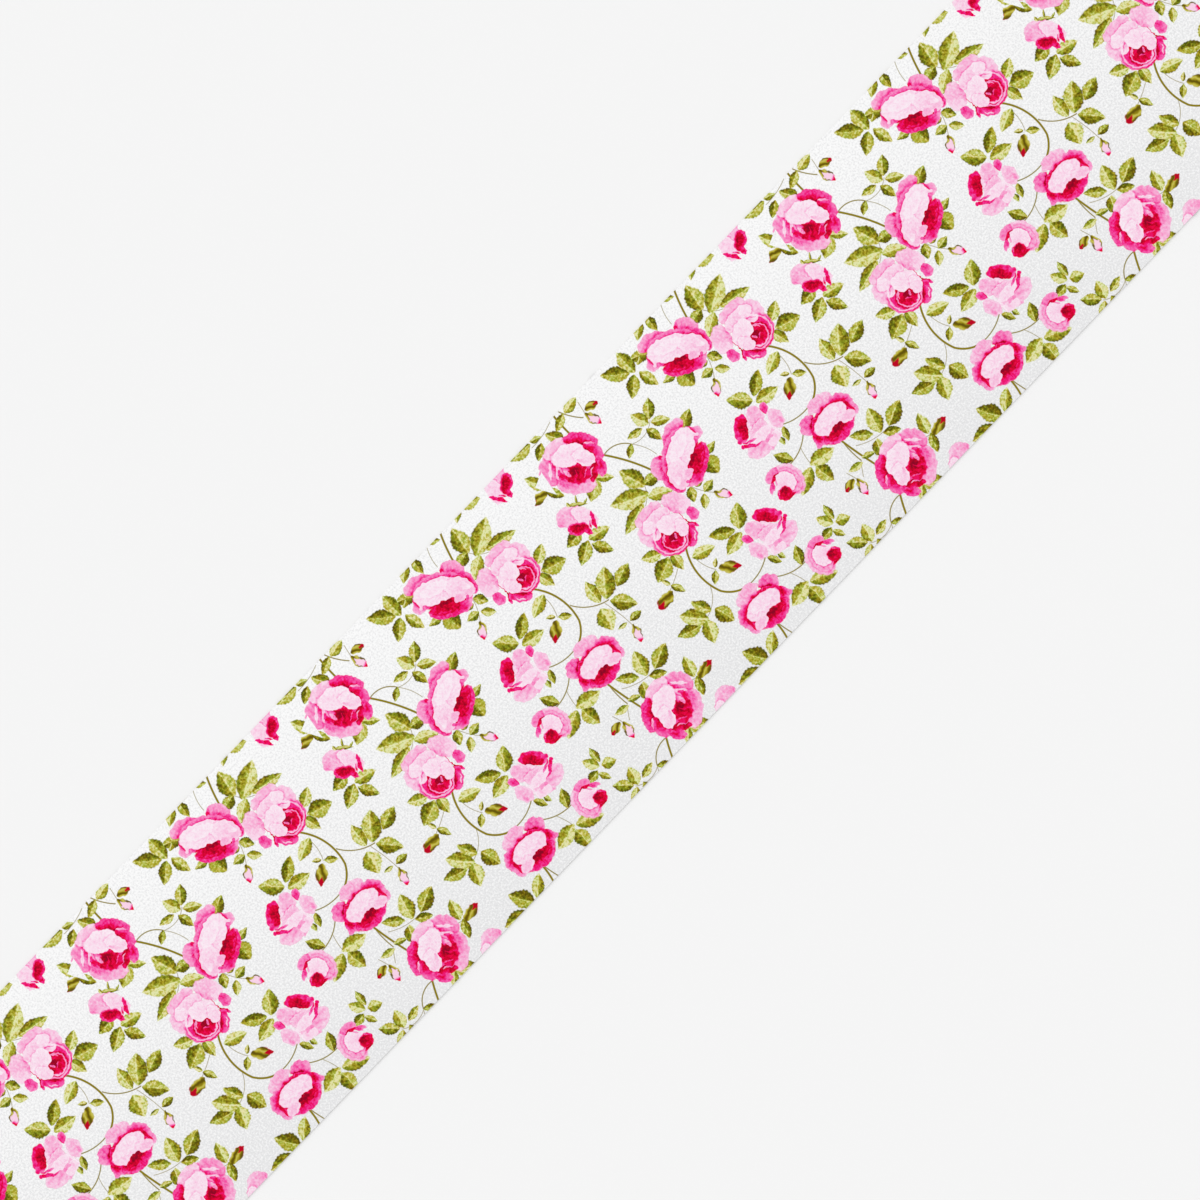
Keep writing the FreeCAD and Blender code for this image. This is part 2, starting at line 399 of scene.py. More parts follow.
# Each leaf: x and y of its middle, the direction of its tip, its length and its width.
LEAVES = [
    (12.8, 28.8, 215, 3.4, 1.7), (17.0, 28.7, 120, 4.0, 2.2), (7.7, 25.2, 110, 4.4, 2.2),
    (9.0, 21.0, -65, 4.0, 1.7), (14.8, 16.0, 212, 4.6, 2.8), (18.1, 16.1, -42, 3.6, 1.6),
    (25.3, 16.1, 215, 2.9, 1.3), (28.4, 17.8, 170, 3.5, 1.4), (31.1, 19.1, 108, 3.9, 2.3),
    (33.9, 19.3, 47, 4.1, 2.1), (33.8, 16.0, -35, 3.7, 1.8), (31.0, 15.0, -80, 3.6, 1.7),
    (21.7, 12.1, 104, 5.6, 3.3), (18.3, 9.5, 152, 7.8, 3.5), (24.3, 9.2, -10, 3.6, 2.1),
    (16.2, 6.2, 195, 6.8, 2.4), (23.4, 6.0, -30, 5.0, 2.3), (27.6, 1.3, 240, 3.0, 1.8),
    (30.2, 1.9, 0, 1.9, 0.9), (34.5, 2.7, -92, 4.2, 3.2), (31.1, 0.2, 8, 2.9, 1.6),
    (28.4, -1.4, 230, 3.0, 1.6), (37.5, 12.5, 30, 4.2, 2.2), (36.8, 5.1, 15, 3.0, 1.4),
    (13.2, -1.4, 150, 4.0, 2.2), (12.9, -4.9, 200, 5.2, 3.2), (16.1, -5.7, -100, 3.9, 2.0),
    (21.0, -8.1, -18, 4.9, 2.2), (19.0, -13.3, 222, 2.7, 1.3), (21.1, -11.3, 38, 1.9, 0.8),
    (26.1, -8.2, 148, 5.1, 2.3), (30.9, -8.1, 50, 5.1, 2.9), (26.4, -11.4, 192, 5.1, 2.5),
    (29.7, -19.3, -65, 2.9, 1.3), (31.2, -19.7, -80, 1.9, 1.0), (28.3, -27.6, 194, 5.6, 2.8),
    (30.4, -30.2, -95, 4.4, 2.7), (34.0, -28.6, -25, 5.7, 2.5), (33.6, -22.1, 62, 3.9, 1.9),
]
# Leaves that only one of the two clusters has. Their places are measured as the first cluster's are.
LONE_LEAVES = [
    (5.0, 12.0, 185, 3.9, 2.4), (4.6, 8.6, 210, 5.0, 2.5), (9.4, 9.3, -15, 4.6, 2.3),
    (7.9, 6.8, -63, 4.3, 2.1), (10.6, 16.2, -40, 3.6, 0.8), (9.1, 17.4, 85, 1.4, 0.6),
    (11.0, 17.2, 55, 1.8, 0.5), (12.0, 15.6, 20, 1.5, 0.5), (11.5, -7.0, 115, 1.9, 0.8),
    (12.4, -9.5, -68, 3.0, 1.3), (10.4, -15.8, 128, 5.6, 3.4), (7.8, -17.0, 160, 5.0, 2.3),
    (12.9, -15.3, 110, 4.2, 2.2), (10.7, -20.0, 243, 4.8, 2.8), (15.0, -19.7, -78, 4.3, 2.9),
    (19.7, 30.0, 205, 3.8, 1.6), (23.6, 30.9, 10, 3.8, 1.9), (9.8, 31.66, 170, 5.4, 2.6),
    (14.0, 31.2, -20, 2.4, 1.2), (13.4, -29.8, 118, 5.5, 3.1), (9.8, -31.8, 170, 5.4, 2.6),
    (17.5, -30.3, 40, 4.6, 2.2), (34.2, 28.7, 140, 5.7, 2.7), (37.3, 28.9, 88, 5.1, 2.8),
    (40.0, 27.7, 35, 3.2, 1.7), (34.9, 24.5, 220, 4.7, 2.3), (38.2, 23.4, -80, 4.3, 2.1),
    (42.0, -21.1, 118, 3.5, 1.9), (43.8, -20.4, 82, 3.4, 1.4), (44.7, -23.5, -25, 3.0, 2.0),
    (40.4, -23.2, 183, 3.1, 1.6), (42.3, -24.8, -65, 2.7, 1.2),
    (0.1, 2.1, 80, 4.8, 2.4), (6.7, 0.3, 18, 4.8, 2.5), (3.2, 1.6, 48, 6.2, 3.6),
    (-1.8, -3.6, -105, 4.6, 3.4), (3.0, -3.7, -52, 5.2, 2.8), (-0.6, -6.8, 170, 2.2, 0.8),
    (2.7, -7.2, -5, 2.9, 1.4),
    (-7.4, -14.6, 140, 4.6, 1.9), (-3.5, -14.4, 72, 5.2, 2.9), (0.3, -16.2, 22, 5.4, 2.8),
    (-9.2, -18.3, -20, 2.9, 1.1), (-12.7, -18.2, 170, 3.2, 1.3),
]
# Stems by width: each starts, bends towards a point, and ends.
STEMS = {
    0.42: [
        ((21.2, 19.2), (23.9, 15.2), (25.5, 10.6)), ((19.4, -4.8), (15.6, -11.4), (17.8, -15.9)),
        ((17.8, -15.9), (19.0, -18.0), (21.4, -18.9)),
    ],
    0.24: [
        ((21.3, 19.3), (24.6, 19.8), (26.5, 16.8)), ((23.0, -19.1), (26.4, -19.2), (28.9, -17.5)),
        ((27.4, -21.8), (30.4, -24.2), (34.0, -23.9)),
    ],
    0.15: [
        ((26.5, 16.8), (29.0, 15.3), (32.3, 17.4)), ((26.5, 16.8), (28.2, 14.6), (28.5, 12.0)),
        ((19.0, -7.2), (18.9, -10.4), (20.2, -12.3)), ((29.8, -23.2), (30.6, -24.8), (30.9, -27.2)),
        ((25.1, 30.2), (24.8, 29.0), (24.5, 27.6)), ((22.4, 9.4), (21.4, 7.2), (19.6, 6.4)),
        ((28.6, 2.6), (29.4, 0.2), (31.2, -1.8)), ((8.0, 22.7), (8.8, 22.7), (9.6, 23.2)),
    ],
}
LONE_STEMS = {
    0.42: [
        ((19.8, 31.8), (19.5, 29.0), (19.5, 26.8)), ((20.9, -28.4), (20.8, -30.0), (20.2, -31.9)),
        ((-10.9, -12.8), (-10.4, -17.0), (-9.5, -21.0)),
    ],
    0.24: [
        ((21.1, 31.6), (22.0, 29.2), (23.6, 27.4)), ((21.1, -28.6), (21.3, -30.2), (21.7, -31.9)),
        ((-10.9, -13.0), (-11.3, -16.0), (-11.0, -18.0)), ((-4.8, 3.4), (-3.4, 0.3), (1.2, -1.2)),
    ],
    0.15: [
        ((17.0, -13.9), (15.2, -17.2), (11.8, -17.7)), ((15.0, -6.8), (13.0, -8.0), (10.8, -8.7)),
        ((12.4, 30.5), (15.0, 30.3), (18.4, 31.5)), ((-9.6, -15.3), (-6.6, -17.4), (-2.4, -17.3)),
        ((0.2, -1.2), (0.8, -3.5), (0.9, -8.4)), ((-11.0, -18.0), (-12.2, -19.4), (-13.0, -20.6)),
    ],
}
# Each bud: x and y of its middle, the direction of its tip, its length, its width and how pale it is.
BUDS = [
    (6.0, 22.6, 176, 4.2, 1.9, 0.0), (24.9, 25.9, -75, 3.6, 1.7, 1.0),
    (26.5, 27.9, -12, 2.9, 1.5, 0.0), (22.5, -13.9, -40, 4.2, 2.1, 0.0),
    (31.9, -2.9, -50, 3.5, 1.7, 1.0),
]
LONE_BUDS = [(8.9, -9.4, 189, 4.4, 2.2, 0.0), (0.4, -9.8, 250, 3.6, 1.6, 1.0)]
# Each rose: x and y of its middle, then its petals from the back to the front. A petal is x and y from
# the rose's middle, a direction, half its length and half its width, and its tone behind and ahead:
# 0 is nearly white, 0.5 pink, 0.76 hot pink, 0.9 crimson and 1 dark red.
ROSES = [
    ((15.6, 22.7), [
        (-0.4, -0.4, 0, 4.9, 4.6, 0.4, 0.5), (-4.1, 1.9, 60, 3.0, 2.2, 0.46, 0.42),
        (-2.2, -3.5, -45, 3.9, 2.1, 0.42, 0.3), (-0.3, 4.4, 0, 2.9, 1.5, 0.24, 0.2),
        (4.4, 1.9, -52, 3.4, 1.7, 0.72, 0.64), (3.8, 1.8, -55, 2.9, 0.9, 0.82, 0.76),
        (4.8, -1.3, 100, 2.4, 1.3, 0.6, 0.7), (4.4, -0.7, 100, 1.7, 0.55, 0.72, 0.8),
        (5.3, 0.3, -40, 1.2, 0.2, 0.3, 0.5), (3.4, -4.5, 60, 1.9, 1.2, 0.62, 0.7),
        (3.9, -4.1, 65, 0.8, 0.3, 0.84, 0.8), (1.8, -4.2, 38, 2.0, 0.9, 0.9, 0.86),
        (-3.6, -1.6, -70, 2.3, 1.1, 0.6, 0.5), (-4.2, 1.9, 48, 1.7, 0.3, 0.16, 0.14),
        (-3.2, 1.7, 50, 1.8, 0.42, 0.55, 0.7), (-3.2, 0.9, 50, 1.4, 0.3, 0.3, 0.12),
        (-3.3, -0.2, 75, 1.1, 0.35, 0.78, 0.74), (1.0, -4.1, 28, 1.5, 0.2, 0.3, 0.36),
        (-0.6, -2.5, -40, 2.3, 1.8, 0.87, 0.87), (-2.8, -1.5, -75, 1.2, 0.45, 0.86, 0.88),
        (0.7, 1.6, -22, 3.4, 2.2, 0.1, 0.03), (2.5, -0.9, -65, 2.3, 1.55, 0.04, 0.16),
        (1.6, -1.1, -60, 1.1, 0.35, 0.3, 0.2), (-2.1, -0.8, 100, 0.9, 0.45, 0.56, 0.3),
        (-0.9, -0.6, 110, 0.8, 0.3, 1.0, 0.9), (-0.6, -1.5, -25, 1.2, 0.8, 1.06, 0.98),
        (-0.9, -2.0, 50, 0.5, 0.12, 0.84, 0.84), (0.5, -3.3, 32, 1.1, 0.12, 0.68, 0.6),
    ]),
    ((31.4, 8.2), [
        (2.3, 4.3, 20, 3.2, 1.7, 0.5, 0.38), (4.8, 1.7, -40, 2.3, 1.4, 0.52, 0.4),
        (4.5, 2.3, -32, 1.5, 0.3, 0.7, 0.56), (-4.4, 1.2, 60, 2.5, 1.9, 0.42, 0.42),
        (-2.9, 2.7, -35, 1.2, 0.4, 0.5, 0.74), (-4.7, -3.0, 105, 2.5, 1.3, 0.5, 0.62),
        (-4.0, 1.0, -18, 1.2, 0.2, 0.6, 0.76), (-3.9, 0.4, -30, 0.9, 0.16, 0.6, 0.78),
        (-4.2, -0.5, 27, 1.1, 0.18, 0.62, 0.8), (-1.2, -5.1, -10, 2.1, 1.3, 0.44, 0.44),
        (0.2, 0.2, 35, 5.6, 3.6, 0.62, 0.5), (1.9, -3.3, 33, 3.9, 1.8, 0.76, 0.7),
        (2.1, -2.5, 35, 2.8, 1.3, 0.92, 0.84), (0.8, 0.8, 27, 4.9, 2.5, 0.14, 0.08),
        (-2.7, -2.2, 57, 3.1, 2.1, 0.24, 0.1), (0.9, 1.4, 20, 3.0, 1.2, 0.02, 0.02),
        (4.6, 1.5, -40, 1.6, 0.35, 0.0, 0.2), (-3.6, -2.4, 70, 1.7, 0.6, 0.06, 0.2),
        (-1.4, -3.5, 0, 1.4, 0.75, 0.2, 0.34), (1.3, -2.1, 28, 1.3, 0.5, 1.06, 1.0),
        (3.0, -3.0, 33, 1.6, 0.14, 0.8, 0.72), (-2.1, -4.7, -20, 0.8, 0.3, 0.7, 0.66),
    ]),
    ((20.0, 0.3), [
        (-1.3, -1.6, 0, 4.0, 3.6, 0.4, 0.5), (-3.9, 1.3, 100, 2.6, 2.1, 0.26, 0.24),
        (-1.3, 4.5, 0, 3.3, 1.5, 0.3, 0.28), (4.2, 2.2, -62, 3.0, 2.0, 0.3, 0.16),
        (3.0, 1.6, -75, 1.6, 0.6, 0.36, 0.42), (5.1, -1.7, 90, 1.4, 1.1, 0.5, 0.68),
        (-1.0, 2.6, 0, 3.4, 1.7, 0.1, 0.22), (-2.6, 3.2, -20, 0.9, 0.4, 0.0, 0.0),
        (3.6, -3.0, -65, 1.2, 0.36, 0.78, 0.66), (3.0, -0.8, 95, 1.1, 0.3, 0.78, 0.74),
        (1.8, -4.3, 50, 2.4, 1.4, 0.62, 0.74), (2.2, -4.9, 50, 1.0, 0.2, 0.25, 0.3),
        (-2.1, -2.8, -30, 3.5, 2.5, 0.52, 0.68), (-1.5, -2.2, -25, 3.4, 2.9, 0.2, 0.24),
        (-1.5, -2.2, -25, 3.0, 2.5, 0.76, 0.74), (-1.3, -2.6, -20, 2.3, 2.05, 0.3, 0.2),
        (-1.3, -2.5, -15, 2.05, 1.8, 0.88, 0.86), (-2.2, 1.0, 33, 2.1, 0.9, 0.12, 0.1),
        (-2.0, 1.2, 28, 1.8, 0.18, 0.5, 0.4), (0.5, -0.1, -35, 2.9, 2.0, 0.06, 0.1),
        (1.5, -2.0, 70, 1.8, 1.25, 0.16, 0.08), (-0.9, -2.2, 0, 1.1, 0.85, 1.04, 0.96),
        (-0.5, -2.3, 60, 0.5, 0.2, 0.5, 0.5), (-1.5, -2.9, -45, 0.7, 0.12, 0.64, 0.64),
        (-2.3, -1.0, 55, 0.8, 0.14, 0.5, 0.34),
    ]),
    ((21.6, -23.9), [
        (0.2, -1.3, 0, 4.9, 3.2, 0.5, 0.46), (-0.8, 3.7, 5, 2.9, 1.5, 0.28, 0.34),
        (3.9, 2.3, -35, 2.1, 1.8, 0.6, 0.44), (-4.0, 0.9, 45, 2.3, 1.5, 0.52, 0.56),
        (-4.5, -1.5, -80, 1.9, 0.95, 0.5, 0.4), (4.6, -0.7, -55, 2.1, 0.95, 0.74, 0.56),
        (2.6, 2.0, -15, 1.6, 0.5, 0.88, 0.8), (0.4, -2.9, 0, 3.6, 1.9, 0.52, 0.5),
        (0.1, 0.0, 0, 4.6, 2.75, 0.78, 0.72), (-4.4, -1.1, 92, 1.4, 0.3, 0.84, 0.8),
        (0.6, -3.1, 0, 3.3, 1.5, 0.76, 0.7), (1.2, -2.6, 0, 2.5, 1.2, 0.92, 0.85),
        (0.1, -0.1, 0, 4.1, 2.3, 0.16, 0.16), (0.0, 0.5, 0, 2.6, 1.2, 0.06, 0.1),
        (1.0, -2.4, 0, 2.0, 0.8, 1.0, 0.88), (-2.5, -2.1, 20, 1.7, 1.1, 0.24, 0.16),
        (0.3, -2.1, 0, 1.3, 0.6, 1.08, 1.02), (0.3, -1.7, 80, 0.4, 0.3, 1.0, 1.0),
        (1.6, -3.5, 15, 1.2, 0.12, 0.74, 0.74),
    ]),
    ((32.8, -14.6), [
        (1.2, -2.6, 3, 3.9, 2.2, 0.32, 0.28), (-1.0, -3.6, -10, 1.8, 1.0, 0.16, 0.1),
        (-4.1, -1.2, 100, 2.1, 1.4, 0.3, 0.24), (-4.7, -1.6, 110, 1.2, 0.4, 0.46, 0.3),
        (-4.0, 1.9, -60, 1.2, 0.8, 0.5, 0.7), (2.1, 2.5, -47, 2.9, 1.5, 0.78, 0.7),
        (4.0, 1.0, -40, 0.8, 0.6, 0.7, 0.74), (1.8, 2.2, -52, 2.2, 1.0, 0.94, 0.88),
        (2.0, 2.2, -52, 1.3, 0.35, 1.0, 0.9), (-0.9, 1.3, -55, 3.2, 1.8, 0.34, 0.24),
        (0.2, 2.2, -50, 2.3, 0.3, 0.2, 0.1), (0.3, -0.4, -20, 2.7, 1.4, 0.3, 0.24),
        (0.3, -1.2, 0, 2.7, 1.05, 0.12, 0.06), (2.8, -0.4, 25, 1.4, 0.3, 0.5, 0.74),
        (3.6, -0.9, 38, 1.5, 0.4, 0.74, 0.78), (2.1, -2.0, 18, 1.1, 0.22, 0.56, 0.76),
        (0.4, -2.8, 0, 1.5, 0.5, 0.46, 0.4), (-2.5, -1.8, 90, 2.4, 0.2, 0.0, 0.0),
    ]),
    ((36.8, -25.4), [
        (-0.8, -0.4, 90, 3.5, 2.7, 0.36, 0.28), (-0.6, -0.5, 90, 2.8, 2.0, 0.42, 0.4),
        (1.0, 2.7, -15, 1.7, 1.0, 0.56, 0.42), (2.8, 0.9, -40, 1.2, 0.55, 0.7, 0.48),
        (0.9, 1.9, -5, 1.3, 0.4, 0.84, 0.8), (-0.1, -0.2, 90, 2.2, 1.8, 0.1, 0.08),
        (1.0, 0.0, 0, 1.4, 0.8, 0.2, 0.08), (1.3, -2.8, 15, 1.1, 0.45, 0.84, 0.88),
        (1.9, -1.6, 30, 1.55, 1.35, 0.9, 0.82), (1.5, -1.2, 40, 0.9, 0.6, 1.05, 0.98),
        (2.6, -0.6, -60, 0.5, 0.15, 0.55, 0.6),
    ]),
    ((8.1, 13.9), [
        (0.1, 1.1, -45, 3.5, 2.2, 0.34, 0.16), (-2.2, 2.1, 10, 1.2, 1.0, 0.44, 0.34),
        (-2.7, 1.5, -50, 1.0, 0.25, 0.5, 0.4), (1.7, -0.3, -72, 2.9, 1.5, 0.1, 0.2),
        (2.4, -2.0, 60, 1.9, 0.42, 0.76, 0.76), (0.1, -2.9, -60, 0.9, 0.6, 0.66, 0.74),
        (1.4, -2.2, 62, 0.9, 0.24, 0.76, 0.6), (-0.9, -1.2, -38, 2.2, 1.25, 0.74, 0.76),
        (-0.8, -1.0, -35, 1.7, 0.8, 0.92, 0.88), (-0.5, -0.8, -35, 1.2, 0.3, 1.02, 1.0),
        (0.6, -2.1, 65, 0.7, 0.2, 0.86, 0.9),
    ]),
]
# Spots that belong to a cluster, with their reach: each point of the cloth takes the cluster it is
# nearer to.
REACHES = [
    (15.6, 22.8, 6.6), (31.5, 8.2, 6.6), (19.9, 0.4, 6.3), (21.6, -23.8, 5.9), (32.6, -14.5, 5.5),
    (36.8, -25.4, 3.9), (8.0, 13.9, 3.8), (6.3, 23.3, 3.3), (4.6, 22.8, 3.0), (7.5, 26.2, 3.4),
    (7.6, 8.8, 4.4), (4.2, 11.0, 3.0), (2.8, 7.6, 3.2), (19.2, 10.5, 4.6), (14.6, 6.2, 3.0),
    (31.3, 17.4, 4.0), (26.0, 16.8, 2.8), (25.3, 28.2, 3.6), (21.0, 30.5, 3.0), (12.5, 30.6, 4.6),
    (10.4, 17.0, 2.2), (12.4, -4.2, 3.8), (9.4, -9.3, 3.9), (10.6, -16.8, 5.0), (14.0, -19.2, 3.4),
    (19.5, -10.8, 4.5), (23.0, -17.2, 3.5), (27.6, -9.6, 4.7), (31.2, -1.6, 3.2), (29.6, 0.8, 3.0),
    (35.4, 3.2, 3.2), (37.4, 12.6, 2.7), (29.8, -27.9, 4.3), (34.3, -28.6, 3.6), (33.2, -22.3, 2.6),
    (29.5, -20.6, 2.6), (12.8, -30.2, 4.8), (20.4, -30.4, 2.4), (17.4, -30.4, 2.6),
    (30.3, 33.0, 2.6), (9.9, 33.0, 3.6), (20.4, 33.3, 2.6), (8.6, -31.4, 2.6),
]
LONGEST_REACH = max(reach for x, y, reach in REACHES)

STEM_BLUR = 0.07
BLADE_LENGTH_SHARE = 0.53  # half of a blade's ellipse, as a share of the leaf's length
BLADE_WIDTH_SHARE = 0.58
ROSE_TOP = 1.1  # the last tone in ROSE_COLOURS
ROSE_COLOURS = [
    (0.0, (251, 236, 245)), (0.2, (250, 212, 233)), (0.36, (248, 180, 216)), (0.5, (248, 142, 196)),
    (0.64, (244, 88, 168)), (0.76, (240, 25, 128)), (0.88, (232, 0, 60)), (1.0, (188, 0, 34)),
    (1.1, (140, 2, 36)),
]
LEAF_COLOURS = [
    (0.0, (92, 76, 6)), (0.2, (124, 108, 14)), (0.4, (158, 144, 28)), (0.6, (184, 172, 52)),
    (0.8, (206, 198, 104)), (1.0, (232, 226, 172)),
]
GREENER_COLOURS = [
    (0.0, (80, 84, 8)), (0.2, (110, 118, 18)), (0.4, (140, 150, 34)), (0.6, (166, 176, 56)),
    (0.8, (194, 202, 108)), (1.0, (226, 230, 174)),
]
STEM_COLOUR = (138, 122, 12)
# The cloth's pale and darker ground tones. The mix between them is the cotton's own mottling, plus
# painted shade towards the -Y edge.
GROUND = (252, 252, 252)
GROUND_SHADE = (229, 229, 230)


def fold_into_cluster(n, s, y):
    """The cloth's point (s, y) in its cluster's own coordinates, and in the first cluster's."""
    first_x = n.math("WRAP", s, FIRST_WINDOW + REPEAT, FIRST_WINDOW)
    second_x = n.math("WRAP", s, SECOND_WINDOW + REPEAT, SECOND_WINDOW)
    c, t = math.cos(MIRROR_TURN), math.sin(MIRROR_TURN)
    mx, my = MIRROR_AT
    to_x, to_y = (-c, -t, c * mx + t * my), (-t, c, t * mx - c * my)
    below = n.math("LESS_THAN", n.vector("DOT_PRODUCT", n.join(second_x, y, 1.0), to_y), SECOND_BOTTOM)
    wrapped = n.join(second_x, n.math("MULTIPLY_ADD", below, CROSS_REPEAT, y), 1.0)
    second_x, second_y = n.vector("DOT_PRODUCT", wrapped, to_x), n.vector("DOT_PRODUCT", wrapped, to_y)
    first, second = n.join(first_x, y), n.join(second_x, second_y)
    nearest = [n.group("cluster_reach", cluster_reach, place)[0] for place in (first, second)]
    return n.mix(n.math("LESS_THAN", *nearest), second, first, "VECTOR"), first


def cluster_reach(n, place):
    """How far place is from the cluster. A spot with a long reach lies less deep, so it is nearer."""
    least = 1000.0
    for x, row, reach in REACHES:
        depth = math.sqrt(1.02 * LONGEST_REACH**2 - reach**2)
        least = n.math("MINIMUM", n.vector("DISTANCE", place, (x, row, depth)), least)
    return (least,)


def after(n, place, result):
    """place, but only once result is known. Cycles keeps a shader's unfinished values on a small stack,
    and in no set order, so each part of the print waits for the one before it."""
    return n.vector("MULTIPLY_ADD", n.join(result, result), (1e-9, 1e-9, 0.0), place)


def circle_through(a, b, c):
    """Centre and radius of the circle through three points."""
    (ax, ay), (bx, by), (cx, cy) = a, b, c
    d = 2 * (ax * (by - cy) + bx * (cy - ay) + cx * (ay - by))
    x = ((ax**2 + ay**2) * (by - cy) + (bx**2 + by**2) * (cy - ay) + (cx**2 + cy**2) * (ay - by)) / d
    y = ((ax**2 + ay**2) * (cx - bx) + (bx**2 + by**2) * (ax - cx) + (cx**2 + cy**2) * (bx - ax)) / d
    return (x, y), math.dist((x, y), a)


def stems(n, place, covered, table):
    """1 on a stem. Each is an arc of a circle, cut off by a disc that stands on its two ends."""
    for width, arcs in table.items():
        gap = 100.0
        for a, b, c in arcs:
            on = [0.25 * p + 0.5 * q + 0.25 * r for p, q, r in zip(a, b, c)]
            centre, radius = circle_through(a, on, c)
            from_centre = n.vector("DISTANCE", place, centre + (0.0,))
            ring = n.math("ABSOLUTE", n.math("SUBTRACT", from_centre, radius))
            middle = ((a[0] + c[0]) / 2, (a[1] + c[1]) / 2, 0.0)
            past_end = n.math("SUBTRACT", n.vector("DISTANCE", place, middle), math.dist(a, c) / 2)
            gap = n.math("MINIMUM", gap, n.math("MAXIMUM", ring, past_end))
        strength = min(1.0, 0.45 + 2 * width)
        low, high = width / 2 - STEM_BLUR, width / 2 + STEM_BLUR
        covered = n.math("MAXIMUM", covered, n.fade(gap, high, low, 0.0, strength))
    return (covered,)


def blade_mark(number):
    """A small number that tells the blades of a table apart."""
    return 0.1 * (number * 0.37 % 1)


def nearest_blade(n, place, size, spot, blades):
    """The size so far and the place along and across that blade, or those of a nearer one in blades.
    Each blade is an ellipse."""
    if isinstance(size, bpy.types.NodeSocket):
        place = after(n, place, size)
    for number, (x, y, degrees, length, width) in enumerate(blades):
        middle = (x, y, -blade_mark(number))
        half_sizes = (length * BLADE_LENGTH_SHARE, width * BLADE_WIDTH_SHARE, 1.0)
        here = n.placed(place, middle, degrees, half_sizes)
        reach = n.vector("LENGTH", here)
        spot = n.mix(n.math("LESS_THAN", reach, size), spot, here, "VECTOR")
        size = n.math("MINIMUM", size, reach)
    return size, spot


def leaves(n, place, lone_place, grain, patches):
    """Mask and colour of the leaves: pointed, toothed, paler at the vein and darker on one half."""
    size, spot = n.math("ADD", 1000.0, 0.0), n.join(9.0, 9.0)
    for begin in range(0, len(LEAVES), 19):
        size, spot = n.group("leaves", nearest_blade, place, size, spot, LEAVES[begin : begin + 19])
    for begin in range(0, len(LONE_LEAVES), 19):
        blades = LONE_LEAVES[begin : begin + 19]
        size, spot = n.group("leaves", nearest_blade, lone_place, size, spot, blades)
    along, across, mark = n.split(spot)
    beside = n.math("ABSOLUTE", across)
    room = n.math("SUBTRACT", 1.0, n.math("MULTIPLY", along, along))
    half_width = n.math("MULTIPLY", room, n.math("MULTIPLY_ADD", along, -0.22, 0.98))
    teeth = n.math("MULTIPLY_ADD", n.math("SINE", n.math("MULTIPLY", along, 26.0)), 0.05, 1.0)
    outside = n.math("SUBTRACT", beside, n.math("MULTIPLY", half_width, teeth))
    mask = n.math("MULTIPLY", n.fade(outside, 0.10, -0.06), n.math("GREATER_THAN", room, 0.0))
    vein = n.math("ABSOLUTE", n.math("MULTIPLY_ADD", room, -0.10, across))
    ribs = n.math("SINE", n.math("MULTIPLY_ADD", beside, -5.0, n.math("MULTIPLY", along, 9.0)))
    tone = n.fade(across, -0.30, 0.40, 0.22, 0.72)
    tone = n.math("MULTIPLY_ADD", ribs, 0.08, tone)
    tone = n.math("MULTIPLY_ADD", n.math("MULTIPLY", beside, beside), -0.25, tone)
    tone = n.math("MULTIPLY_ADD", mark, 3.6, tone)
    tone = n.math("ADD", tone, n.fade(vein, 0.14, 0.02, 0.0, 0.3))
    tone = n.math("MULTIPLY_ADD", grain, 1.3, tone)
    tone = n.math("SUBTRACT", tone, 0.7)
    greener = n.fade(patches, -0.25, 0.25)
    return mask, n.mix(greener, n.ramp(tone, LEAF_COLOURS), n.ramp(tone, GREENER_COLOURS), "RGBA")


def buds(n, place, lone_place):
    """Mask and colour of the buds: a striped green cup that opens on a dark tip, or on a pale bud with
    green edges."""
    size, spot = n.math("ADD", 1000.0, 0.0), n.join(9.0, 9.0)
    size, spot = nearest_blade(n, place, size, spot, [bud[:5] for bud in BUDS])
    size, spot = nearest_blade(n, lone_place, size, spot, [bud[:5] for bud in LONE_BUDS])
    along, across, mark = n.split(spot)
    beside = n.math("ABSOLUTE", across)
    room = n.math("SUBTRACT", 1.0, n.math("MULTIPLY", along, along))
    half_width = n.math("POWER", n.math("MAXIMUM", room, 0.0), 0.75)
    outside = n.math("SUBTRACT", beside, n.math("MULTIPLY", half_width, 0.95))
    mask = n.math("MULTIPLY", n.fade(outside, 0.12, -0.08), n.math("GREATER_THAN", room, 0.0))
    pale = 0.0
    for table in (BUDS, LONE_BUDS):
        for number, bud in enumerate(table):
            if bud[5]:
                pale = n.math("MAXIMUM", pale, n.math("COMPARE", mark, blade_mark(number), 0.004))
    cup = n.math("MULTIPLY_ADD", n.math("COSINE", n.math("MULTIPLY", across, 6.0)), 0.22, along)
    opening = n.fade(n.math("MULTIPLY_ADD", pale, 0.75, cup), 0.30, 0.50)
    sepals = n.math("MULTIPLY", n.fade(outside, -0.36, -0.16), n.fade(along, 0.65, 0.35))
    opening = n.math("MULTIPLY_ADD", n.math("MULTIPLY", sepals, pale), -1.0, opening)
    tip = n.math("MULTIPLY_ADD", n.fade(along, 0.45, 0.8, -0.80, -0.1), pale, 1.0)
    stripes = n.math("SINE", n.math("MULTIPLY_ADD", along, 3.0, n.math("MULTIPLY", across, 5.0)))
    green = n.ramp(n.math("MULTIPLY_ADD", stripes, 0.35, 0.38), LEAF_COLOURS)
    return mask, green, opening, tip


